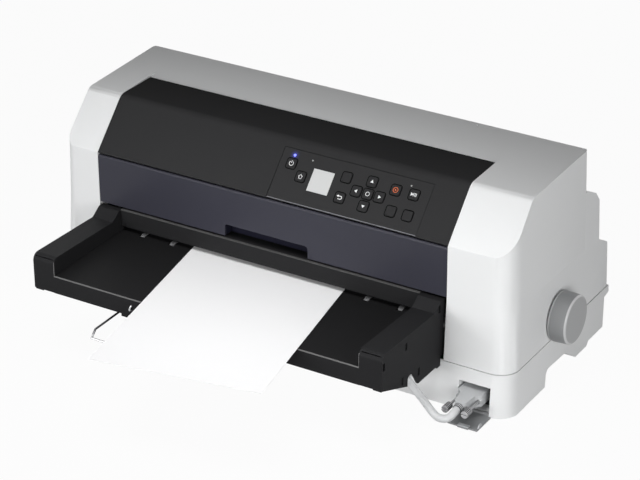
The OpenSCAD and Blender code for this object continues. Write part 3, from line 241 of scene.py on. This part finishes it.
def dress(node, material, edge=0.0, steps=2, fine_at=None):
    """A copy of the solid with its facets merged, its edges rounded and its skin smoothed.
    At the height fine_at the edges stay nearly sharp, as along a seam."""
    plain()
    mesh = frame["nodes"][node].data.copy()
    piece = bpy.data.objects.new(node + "_skin", mesh)
    bpy.context.scene.collection.objects.link(piece)
    bpy.context.view_layer.objects.active = piece
    piece.select_set(True)
    bpy.ops.object.mode_set(mode="EDIT")
    bpy.ops.mesh.select_all(action="SELECT")
    bpy.ops.mesh.remove_doubles(threshold=MERGED)
    bpy.ops.mesh.dissolve_limited(angle_limit=ONE_FACE)
    bpy.ops.mesh.select_mode(type="EDGE")
    bpy.ops.mesh.select_all(action="DESELECT")
    bpy.ops.mesh.edges_select_sharp(sharpness=radians(30))
    bpy.ops.object.mode_set(mode="OBJECT")
    if edge:
        weight = mesh.attributes.new("bevel_weight_edge", "FLOAT", "EDGE")
        for line in mesh.edges:
            if line.select:
                height = sum(mesh.vertices[v].co.z for v in line.vertices) / 2
                fine = fine_at is not None and abs(height - fine_at) < FINE_BAND
                weight.data[line.index].value = FINE_EDGE if fine else 1.0
        rounded = piece.modifiers.new("edge", "BEVEL")
        rounded.width = edge
        rounded.segments = steps
        rounded.limit_method = "WEIGHT"
        rounded.use_clamp_overlap = True
        bpy.ops.object.modifier_apply(modifier="edge")
    even_skin(piece)
    mesh.materials.clear()
    mesh.materials.append(material)
    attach(piece, body_of(node))
    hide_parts(node)
    return piece


def paint(material, *nodes):
    """The finish on the solids as they are."""
    for node in nodes:
        mesh = frame["nodes"][node].data
        mesh.materials.clear()
        mesh.materials.append(material)


def place_mm(tree):
    """The place on the printer in millimetres, counted as the case is drawn."""
    at = add_node(tree, "ShaderNodeTexCoord", {}, {}, "Object")
    split = add_node(tree, "ShaderNodeSeparateXYZ", {}, {"Vector": at}).socket.node
    return [Value(tree, split.outputs[i]) * PER_M + ORIGIN[i] * PER_M for i in range(3)]


def between(value, low, high):
    """1 between the two limits, and 0 elsewhere."""
    return value.math("GREATER_THAN", low) * value.math("LESS_THAN", high)


def tint_where(material, mask, colour):
    """Another shade of the same finish where the mask is 1."""
    tree = material.node_tree
    base = tree.nodes["Principled BSDF"].inputs["Base Color"]
    under = Value(tree, base.links[0].from_socket)
    tree.links.new(tint(tree, mask, under, colour).socket, base)


PLUG_X, PLUG_Z, SCREW_DX = 266.4, 22.7, 12.6
NECK_Y, RIB_PITCH, RIBS = -37, 2.3, 3
KNURLS = 14
KNURL_Y = (-48.6, -38.4)
hood = finish("plug_hood", (0.50, 0.51, 0.52), 0.42, grain=0.00003, specular=0.35)
x, y, z = place_mm(hood.node_tree)
# The neck's ribs are drawn as dark stripes on the hood: painted shade in the hollows between the ribs.
rib = (NECK_Y - y) * (1 / RIB_PITCH)
shaded_groove = rib.math("FRACT").math("GREATER_THAN", 0.56) * between(rib, 0, RIBS)
tint_where(hood, shaded_groove, (0.10, 0.10, 0.105))
plug = dress("cable_plug", hood, 0.0006)
far_plug = dress("far_plug", hood, 0.0006)
knurled = finish("knurled_steel", (0.40, 0.40, 0.41), 0.35, metallic=0.8, shade=0.08, specular=0.2)
x, y, z = place_mm(knurled.node_tree)
# The knurling is drawn as dark stripes round the screw heads: painted shade in its hollows.
side = x - PLUG_X
across = side.math("ABSOLUTE") - SCREW_DX
turn = (z - PLUG_Z).math("ARCTAN2", across)
shaded_groove = (turn * KNURLS).math("SINE").math("GREATER_THAN", 0.1) * between(y, *KNURL_Y)
tint_where(knurled, shaded_groove, (0.06, 0.06, 0.06))
screws = dress("plug_screws", knurled, 0.0003)

# Case. Two white injection mouldings with a fine satin texture, the lower one with hand recesses
# in its sides and the upper one with the two front towers. They meet at a fine dark seam.
SEAM = 0.057
case_white = finish("case_white", (0.80, 0.808, 0.812), 0.45, grain=0.00004, grain_size=0.0007,
                    shade=0.01, specular=0.15)
dress("lower_case", case_white, 0.0009, 3, fine_at=SEAM)
dress("upper_case", case_white, 0.0012, 3, fine_at=SEAM)
paint(finish("foot_rubber", (0.03, 0.03, 0.03), 0.8), "rubber_feet")

# Top cover. A black moulding with a fine leather-like texture, hinged at its rear edge. Its lower
# edge over the window, and the key panel's, end in a narrow bevelled strip of lighter grey, a
# painted highlight for the light those edges catch.
SLOPE_RUN, SLOPE_RISE, SLOPE_FOOT = 54, 57, 0.204
SLOPE = Vector((0, SLOPE_RUN, SLOPE_RISE)).normalized()
PANEL = Matrix(((1, 0, 0, 0), (0, SLOPE.y, -SLOPE.z, 0), (0, SLOPE.z, SLOPE.y, SLOPE_FOOT), (0, 0, 0, 1)))
COVER_X = (-258, 226.7)
PANEL_X = (-15.4, 184.7)
PANEL_GAP = 1.2
STRIP_T, STRIP_EDGE, STRIP_SUNK = 0.5, 0.2, 0.05
cover_black = finish("cover_black", (0.036, 0.036, 0.037), 0.5, grain=0.00010, grain_size=0.0006,
                     specular=0.0)
dress("top_cover", cover_black, 0.0005, 3)
# A lighter grey for the strips along the lower edges: a painted highlight.
lip_grey = finish("lip_grey", (0.17, 0.17, 0.185), 0.35, shade=0.08, specular=0.2)


def on_slope(x, up, height):
    """Takes what is modelled level, in millimetres, to a place on the slanted face."""
    return (Matrix.Translation(-ORIGIN) @ PANEL @ Matrix.Scale(MM, 4) @ Matrix.Translation((x, up, height)))


def lip_strip(name, x0, x1, low, high, body):
    """A thin bevelled strip on the slanted face, from x0 to x1 and between two heights up its slope, in the
    lighter grey of a painted highlight.
    """
    plain()
    bpy.ops.mesh.primitive_cube_add(size=1)
    strip = bpy.context.object
    strip.name = name
    strip.data.transform(Matrix.Diagonal((x1 - x0, high - low, STRIP_T, 1)))
    rounded = strip.modifiers.new("edge", "BEVEL")
    rounded.width = STRIP_EDGE
    rounded.segments = 3
    bpy.ops.object.modifier_apply(modifier="edge")
    even_skin(strip)
    strip.data.transform(on_slope((x0 + x1) / 2, (low + high) / 2, -STRIP_SUNK))
    strip.data.materials.append(lip_grey)
    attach(strip, body)


lip_strip("cover_lip_left", COVER_X[0], PANEL_X[0] - PANEL_GAP, 1.1, 2.4, body_of("top_cover"))
lip_strip("cover_lip_right", PANEL_X[1] + PANEL_GAP, COVER_X[1], 1.1, 2.4, body_of("top_cover"))

# Front window. Smoked clear plastic with a blue cast, hinged at its top edge, with a finger notch
# in its lower edge and the bent strip of the pocket behind the notch.
window_smoke = finish("window_smoke", (0.042, 0.042, 0.056), 0.30, alpha=0.95, shade=0.04, specular=0.15)
dress("front_window", window_smoke, 0.0004)
pocket_smoke = finish("pocket_smoke", (0.012, 0.012, 0.022), 0.35, specular=0.1)
dress("window_pocket", pocket_smoke, 0.0003)

# Sheet tray with its two hollow arms, and the black bar over the sheet slot. Satin black mouldings,
# with painted shade darkening the tray's floor between the arms, and painted highlights in lighter
# grey along the tray's front edge and the bar's top edge.
TRAY_X = (-226.5, 193.9)
TRAY_FLOOR_Z = (106.6, 107.3)
TRAY_EDGE_Y, TRAY_EDGE_Z = -140.2, 105.9
GUIDE_EDGE_Y, GUIDE_EDGE_Z = 0.5, 135.2
tray_black = finish("tray_black", (0.017, 0.017, 0.018), 0.48, grain=0.00005, grain_size=0.0008,
                    specular=0.05)
x, y, z = place_mm(tray_black.node_tree)
# The tray's floor between the arms is painted darker: painted shade of its recess.
tint_where(tray_black, between(x, *TRAY_X) * between(z, *TRAY_FLOOR_Z), (0.0115, 0.0115, 0.012))
# A lighter grey along the tray's front edge: a painted highlight.
front_edge_highlight = y.math("LESS_THAN", TRAY_EDGE_Y) * z.math("GREATER_THAN", TRAY_EDGE_Z)
tint_where(tray_black, between(x, *TRAY_X) * front_edge_highlight, (0.17, 0.17, 0.17))
dress("front_tray", tray_black, 0.0010, 3)
guide_black = finish("guide_black", (0.019, 0.019, 0.020), 0.48, grain=0.00005, grain_size=0.0008,
                     specular=0.05)
x, y, z = place_mm(guide_black.node_tree)
# A lighter grey along the bar's top edge: a painted highlight.
guide_top_highlight = z.math("GREATER_THAN", GUIDE_EDGE_Z) * y.math("LESS_THAN", GUIDE_EDGE_Y)
tint_where(guide_black, guide_top_highlight, (0.07, 0.07, 0.07))
dress("entry_guide", guide_black, 0.0004)
roller_grey = finish("roller_grey", (0.16, 0.16, 0.165), 0.55, specular=0.3)
dress("tray_rollers", roller_grey, 0.0005)

# Wire support. One bent steel rod under the sheet, whose legs slide in two bores of the tray, and
# the turned-up end of the hook that stops the tray's small slider in the front lip.
LIT_BELOW = 79.5
HOOK_R = 0.0011
HOOK = [(-115.4, -140.8, 91.8), (-116.0, -143.2, 92.6), (-115.2, -143.6, 96.0), (-113.6, -142.6, 99.2)]
wire_steel = finish("wire_steel", (0.10, 0.10, 0.105), 0.22, metallic=1.0, shade=0.05)
x, y, z = place_mm(wire_steel.node_tree)
tint_where(wire_steel, z.math("LESS_THAN", LIT_BELOW), (0.55, 0.55, 0.56))
dress("wire_support", wire_steel)
hook_line = bpy.data.curves.new("lip_hook", "CURVE")
hook_line.dimensions = "3D"
hook_line.bevel_depth = HOOK_R
hook_line.bevel_resolution = 3
hook_line.use_fill_caps = True
turns = hook_line.splines.new("BEZIER")
turns.bezier_points.add(len(HOOK) - 1)
for knot, place in zip(turns.bezier_points, HOOK):
    knot.co = Vector(place) * MM - ORIGIN
    knot.handle_left_type = knot.handle_right_type = "AUTO"
plain()
hook = bpy.data.objects.new("lip_hook", hook_line)
bpy.context.scene.collection.objects.link(hook)
bpy.context.view_layer.objects.active = hook
hook.select_set(True)
bpy.ops.object.convert(target="MESH")
even_skin(bpy.context.object)
bright_steel = finish("bright_steel", (0.62, 0.63, 0.64), 0.25, metallic=0.6, shade=0.08)
hook.data.materials.append(bright_steel)
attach(hook, body_of("front_tray"))

# Key panel. A flat black plastic panel let into the cover's slanted face, with a small display and
# indicator lights behind it, of which the blue one is lit and shines on the panel round it.
LIT_LIGHT = PANEL @ Vector((0.0003, 0.0586, 0.0)) * PER_M
LIT_LIGHT_X = 3
HALO_FADE = -0.09


def glow_from(material, colour, strength):
    """Makes the finish shine in a colour that changes over its surface."""
    tree = material.node_tree
    body = tree.nodes["Principled BSDF"]
    tree.links.new(colour.socket, body.inputs["Emission Color"])
    body.inputs["Emission Strength"].default_value = strength


panel_black = finish("panel_black", (0.036, 0.036, 0.037), 0.48, grain=0.00004, grain_size=0.0005,
                     specular=0.01)
tree = panel_black.node_tree
x, y, z = place_mm(tree)
off_x, off_y, off_z = x - LIT_LIGHT.x, y - LIT_LIGHT.y, z - LIT_LIGHT.z
near = ((off_x * off_x + off_y * off_y + off_z * off_z) * HALO_FADE).math("EXPONENT")
glow_from(panel_black, tint(tree, near, (0, 0, 0), (0.035, 0.04, 0.30)), 1.0)
dress("control_panel", panel_black, 0.0003)
# The panel's lower edge gets the same strip, a painted highlight in lighter grey.
lip_strip("panel_lip", *PANEL_X, 1.4, 2.5, body_of("control_panel"))
paint(finish("display", (0.50, 0.505, 0.505), 0.3, glow=(0.6, 0.6, 0.6, 0.15)), "panel_display")
lights = finish("lights", (0.30, 0.30, 0.30), 0.3)
tree = lights.node_tree
x, y, z = place_mm(tree)
lit = x.math("LESS_THAN", LIT_LIGHT_X)
# The lit blue light glows; the unlit ones get a faint grey glow as well, which is painted light.
glow_from(lights, tint(tree, lit, (0.05, 0.05, 0.05), (0.20, 0.24, 1.0)), 1.6)
tint_where(lights, lit, (0.1, 0.1, 0.6))
paint(lights, "panel_lights")

# Keys. Thirteen square caps of black plastic with rounded corners, each on its own switch under
# the panel. Their places are counted along the panel and up its slope.
KEY_AT = {"power": (0.1, 47.8), "mode": (17.9, 35), "source": (75.4, 48), "back": (76, 22.5),
          "up": (108.8, 50.5), "left": (93.4, 35), "ok": (108.8, 35), "right": (124.2, 35),
          "down": (108.8, 19.6), "cancel": (140.9, 48), "pause": (165, 48), "load": (144.1, 22.2),
          "unit": (166.4, 22.2)}
KEY_TOP = 1.0
key_black = finish("key_black", (0.032, 0.032, 0.033), 0.42, grain=0.00002, specular=0.02)
for key in KEY_AT:
    dress("key_" + key, key_black, 0.0004, 3)

# Dark rings round the keys. A flat near-black ring lies in the panel round each key and fills the gap
# between the cap and the panel: a painted shadow of the deep gap round each cap.
SHADE_RING_WIDTH, SHADE_RING_CORNER, SHADE_RING_RIM, SHADE_RING_T, SHADE_RING_SUNK = 14.6, 3.4, 0.95, 0.12, 0.08
gasket_black = finish("gasket_black", (0.004, 0.004, 0.004), 0.8, specular=0.0)


def thicken(height):
    """Gives the flat shape in edit mode its thickness and turns its faces outwards."""
    bpy.ops.mesh.select_all(action="SELECT")
    bpy.ops.mesh.extrude_region_move(TRANSFORM_OT_translate={"value": (0, 0, height)})
    bpy.ops.mesh.select_all(action="SELECT")
    bpy.ops.mesh.normals_make_consistent(inside=False)
    bpy.ops.object.mode_set(mode="OBJECT")


plain()
bpy.ops.mesh.primitive_plane_add(size=SHADE_RING_WIDTH)
ring = bpy.context.object
bpy.ops.object.mode_set(mode="EDIT")
bpy.ops.mesh.bevel(offset=SHADE_RING_CORNER, offset_type="OFFSET", segments=5, affect="VERTICES")
bpy.ops.mesh.select_all(action="SELECT")
bpy.ops.mesh.inset(thickness=SHADE_RING_RIM)
bpy.ops.mesh.delete(type="FACE")
thicken(SHADE_RING_T)
ring.data.materials.append(gasket_black)
for key, place in KEY_AT.items():
    shade_ring = bpy.data.objects.new("gasket_" + key, ring.data.copy())
    bpy.context.scene.collection.objects.link(shade_ring)
    shade_ring.data.transform(on_slope(*place, -SHADE_RING_SUNK))
    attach(shade_ring, body_of("control_panel"))
bpy.data.objects.remove(ring)

# Symbols of the keys. They are printed in white ink on the caps, and that of the stop key in orange:
# bars, arcs and arrowheads, which are modelled level in millimetres and then laid on the slope.
INK = 0.05
ARC_STEP = 12


def bar(width, height, x=0.0, y=0.0, tilt=0.0):
    """A straight stroke, turned about its middle."""
    plain()
    bpy.ops.mesh.primitive_plane_add(size=1)
    shape = bpy.context.object
    shape.data.transform(Matrix.Translation((x, y, 0)) @ Matrix.Rotation(radians(tilt), 4, "Z")
                         @ Matrix.Diagonal((width, height, 1, 1)))
    return shape


def arc(radius, width, start, sweep, x=0.0, y=0.0):
    """A strip bent round a centre: one edge of a plane, spun."""
    plain()
    bpy.ops.mesh.primitive_plane_add(size=width)
    shape = bpy.context.object
    shape.data.transform(Matrix.Translation((radius, width / 2, 0)))
    bpy.ops.object.mode_set(mode="EDIT")
    bpy.ops.mesh.select_mode(type="VERT")
    bpy.ops.mesh.select_all(action="DESELECT")
    bpy.ops.object.mode_set(mode="OBJECT")
    for vertex in shape.data.vertices:
        vertex.select = vertex.co.y > width / 2
    bpy.ops.object.mode_set(mode="EDIT")
    bpy.ops.mesh.delete(type="VERT")
    bpy.ops.mesh.select_all(action="SELECT")
    bpy.ops.mesh.spin(steps=int(sweep / ARC_STEP), angle=radians(sweep), center=(0, 0, 0), axis=(0, 0, -1))
    bpy.ops.mesh.select_all(action="SELECT")
    bpy.ops.mesh.remove_doubles(threshold=0.001)
    bpy.ops.object.mode_set(mode="OBJECT")
    shape.data.transform(Matrix.Translation((x, y, 0)) @ Matrix.Rotation(radians(start), 4, "Z"))
    return shape


def arrowhead(size, turn, x=0.0, y=0.0):
    """A filled triangle that points up the slope before it is turned."""
    plain()
    bpy.ops.mesh.primitive_circle_add(vertices=3, radius=size, fill_type="NGON")
    shape = bpy.context.object
    shape.data.transform(Matrix.Translation((x, y, 0)) @ Matrix.Rotation(radians(turn), 4, "Z"))
    return shape


def print_on(key, ink, scale, *shapes):
    """Joins the shapes, gives them the ink's thickness and lays them on the key's cap."""
    plain()
    for shape in shapes:
        shape.select_set(True)
    bpy.context.view_layer.objects.active = shapes[0]
    if len(shapes) > 1:
        bpy.ops.object.join()
    symbol = shapes[0]
    symbol.name = "symbol_" + key
    bpy.ops.object.mode_set(mode="EDIT")
    thicken(INK)
    symbol.data.transform(on_slope(*KEY_AT[key], KEY_TOP) @ Matrix.Diagonal((scale, scale, 1, 1)))
    symbol.data.materials.append(ink)
    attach(symbol, "key_" + key)


ink_white = finish("ink_white", (0.80, 0.81, 0.82), 0.5)
# The orange ink is also made to glow faintly: painted light.
ink_orange = finish("ink_orange", (0.62, 0.12, 0.03), 0.5, glow=(0.9, 0.18, 0.04, 0.2))
print_on("power", ink_white, 1.3, arc(2.1, 0.55, 125, 290), bar(0.55, 2.4, 0, 1.6))
print_on("mode", ink_white, 1.2, bar(2.9, 0.5, 0, -2.0), bar(0.5, 2.4, -1.5, -0.9),
         bar(0.5, 2.4, 1.5, -0.9), bar(3.0, 0.55, -1.15, 1.1, 42), bar(3.0, 0.55, 1.15, 1.1, -42))
print_on("back", ink_white, 1.2, bar(2.6, 0.65, -0.2, 1.4), arc(1.5, 0.65, -90, 180, 1.1, -0.1),
         bar(2.6, 0.65, -0.2, -1.6), arrowhead(1.5, 90, -2.0, 1.4))
print_on("up", ink_white, 1.15, arrowhead(2.1, 0))
print_on("left", ink_white, 1.15, arrowhead(2.1, 90))
print_on("right", ink_white, 1.15, arrowhead(2.1, -90))
print_on("down", ink_white, 1.15, arrowhead(2.1, 180))
print_on("ok", ink_white, 1.25, arc(1.9, 0.5, 0, 360))
print_on("cancel", ink_orange, 1.2, arc(2.5, 0.5, 0, 360), arrowhead(1.1, 0))
print_on("pause", ink_white, 1.25, arrowhead(1.9, -90, -2.2), bar(0.7, 3.2, -0.4), bar(0.65, 3.2, 1.1),
         bar(0.65, 3.2, 2.4))

# Feed knob. Moulded in grey plastic and pressed on the right end of the steel shaft that turns both
# feed rollers. Its face is painted lighter than its side, as painted light for how the lamps fall on
# it, and its rim and the collar by the wall lighter still, as painted highlights.
KNOB_X, KNOB_T, KNOB_Y, KNOB_Z, KNOB_R = 313.73, 23.5, 117, 83, 31
FACE_T, RIM_WIDTH, COLLAR_T = 2.2, 3, 2.5
knob_grey = finish("knob_grey", (0.27, 0.275, 0.28), 0.5, grain=0.00004, specular=0.3)
x, y, z = place_mm(knob_grey.node_tree)
reach = ((y - KNOB_Y) * (y - KNOB_Y) + (z - KNOB_Z) * (z - KNOB_Z)).math("SQRT")
# Face, rim and collar painted lighter: painted light on the face, painted highlights on rim and collar.
face = x.math("GREATER_THAN", KNOB_X + KNOB_T - FACE_T)
tint_where(knob_grey, face, (0.40, 0.405, 0.41))
tint_where(knob_grey, face * reach.math("GREATER_THAN", KNOB_R - RIM_WIDTH), (0.58, 0.585, 0.59))
tint_where(knob_grey, x.math("LESS_THAN", KNOB_X + COLLAR_T), (0.50, 0.505, 0.51))
dress("feed_knob", knob_grey, 0.0008, 3)

# Connector bay. A dark bracket behind the case wall holds the port, with bare steel at its left, and
# a grey plastic flap on two pins lies open below it, with a lighter catch at its free edge.
BARE_X, BARE_Z = (252, 256.5), 30
CATCH_Y, CATCH_Z = -20, 3.0
bay_grey = finish("bay_grey", (0.035, 0.036, 0.038), 0.5, specular=0.1)
x, y, z = place_mm(bay_grey.node_tree)
tint_where(bay_grey, between(x, *BARE_X) * z.math("GREATER_THAN", BARE_Z), (0.45, 0.46, 0.47))
dress("port_bracket", bay_grey, 0.0003)
flap_grey = finish("flap_grey", (0.21, 0.215, 0.22), 0.45, specular=0.3)
x, y, z = place_mm(flap_grey.node_tree)
tint_where(flap_grey, z.math("GREATER_THAN", CATCH_Z) * y.math("LESS_THAN", CATCH_Y), (0.42, 0.43, 0.44))
dress("connector_flap", flap_grey, 0.0004)

# Loaded sheet. One plain white A4 sheet of office paper, laid a little askew on the tray, with its
# rear end in the feed slot.
paper = finish("paper", (0.93, 0.93, 0.935), 0.8, shade=0.006, specular=0.1)
dress("loaded_sheet", paper)

# Frame and mechanism, seen when the cover or the window is open: plated steel sheet, ground shafts,
# moulded gears, rubber rollers, black motors.
sheet_steel = finish("sheet_steel", (0.50, 0.51, 0.52), 0.38, metallic=0.9)
paint(sheet_steel, "panel_bridge", "left_side_plate", "right_side_plate", "frame_base", "rear_rail",
      "power_supply")
paint(bright_steel, "knob_shaft", "guide_shaft", "motor_pulley", "idler_pulley")
paint(finish("gear_resin", (0.72, 0.72, 0.67), 0.5), "idler_gear_a", "idler_gear_b", "feed_pinion")
paint(finish("feed_rubber", (0.10, 0.10, 0.11), 0.7), "front_feed_roller", "rear_feed_roller",
      "drive_belt", "platen_bar")
paint(guide_black, "paper_guide", "carriage", "ribbon_cartridge", "power_inlet")
paint(finish("motor_grey", (0.12, 0.12, 0.13), 0.4, metallic=0.3), "feed_motor", "carriage_motor",
      "print_head")
paint(finish("board_green", (0.03, 0.16, 0.09), 0.4), "main_board")

# Floor and light: a white table and backdrop, a large soft lamp low in front, smaller ones at the
# front right and behind, and one with a grid over the tray.
FLOOR_WHITE = 0.96
FILL = 0.055
plain()
bpy.ops.mesh.primitive_plane_add(size=40, location=(0, 0, -0.0002))
floor = bpy.context.object
floor.name = "floor"
floor_paint = bpy.data.materials.new("floor_paint")
floor_paint.use_nodes = True


def shown_white(tree):
    """1 for what the camera, a mirror or a glass sees, and 0 for soft light."""
    ways = [add_node(tree, "ShaderNodeLightPath", {}, {}, way)
            for way in ("Is Camera Ray", "Is Glossy Ray", "Is Transmission Ray")]
    return ways[0].math("MAXIMUM", ways[1]).math("MAXIMUM", ways[2])


tree = floor_paint.node_tree
white = add_node(tree, "ShaderNodeEmission", {}, {"Color": (1, 1, 1, 1), "Strength": 1.0})
matt = add_node(tree, "ShaderNodeBsdfDiffuse", {}, {"Color": (0.45, 0.45, 0.45, 1)})
mixed = add_node(tree, "ShaderNodeMixShader", {}, {0: shown_white(tree) * FLOOR_WHITE, 1: matt, 2: white})
tree.links.new(mixed.socket, tree.nodes["Material Output"].inputs["Surface"])
floor.data.materials.append(floor_paint)

world = bpy.data.worlds.new("studio")
bpy.context.scene.world = world
world.use_nodes = True
tree = world.node_tree
tree.links.new((shown_white(tree) * (1 - FILL) + FILL).socket, tree.nodes["Background"].inputs["Strength"])
tree.nodes["Background"].inputs["Color"].default_value = (1, 1, 1, 1)


def lamp(name, at, size, power, aim, spread=180):
    """A soft rectangular lamp that the camera doesn't see, turned towards a point."""
    data = bpy.data.lights.new(name, "AREA")
    data.shape = "RECTANGLE"
    data.size, data.size_y = size
    data.energy = power
    data.spread = radians(spread)
    softbox = bpy.data.objects.new(name, data)
    bpy.context.scene.collection.objects.link(softbox)
    softbox.visible_camera = False
    away = Vector(at) - Vector(aim)
    softbox.matrix_world = Matrix.Translation(at) @ away.to_track_quat("Z", "Y").to_matrix().to_4x4()


lamp("front_softbox", (-0.65, -2.25, 0.62), (1.7, 0.9), 31.5, (0, 0, 0.15))
lamp("right_softbox", (1.55, -0.75, 0.45), (0.9, 0.7), 12.6, (0.3, 0.1, 0.15))
lamp("tray_softbox", (0.03, -0.36, 0.95), (0.9, 0.4), 1.3, (0.03, -0.18, 0.1), 60)
lamp("rear_softbox", (0.2, 2.3, 0.35), (1.8, 0.6), 11, (0, 0.1, 0.12))
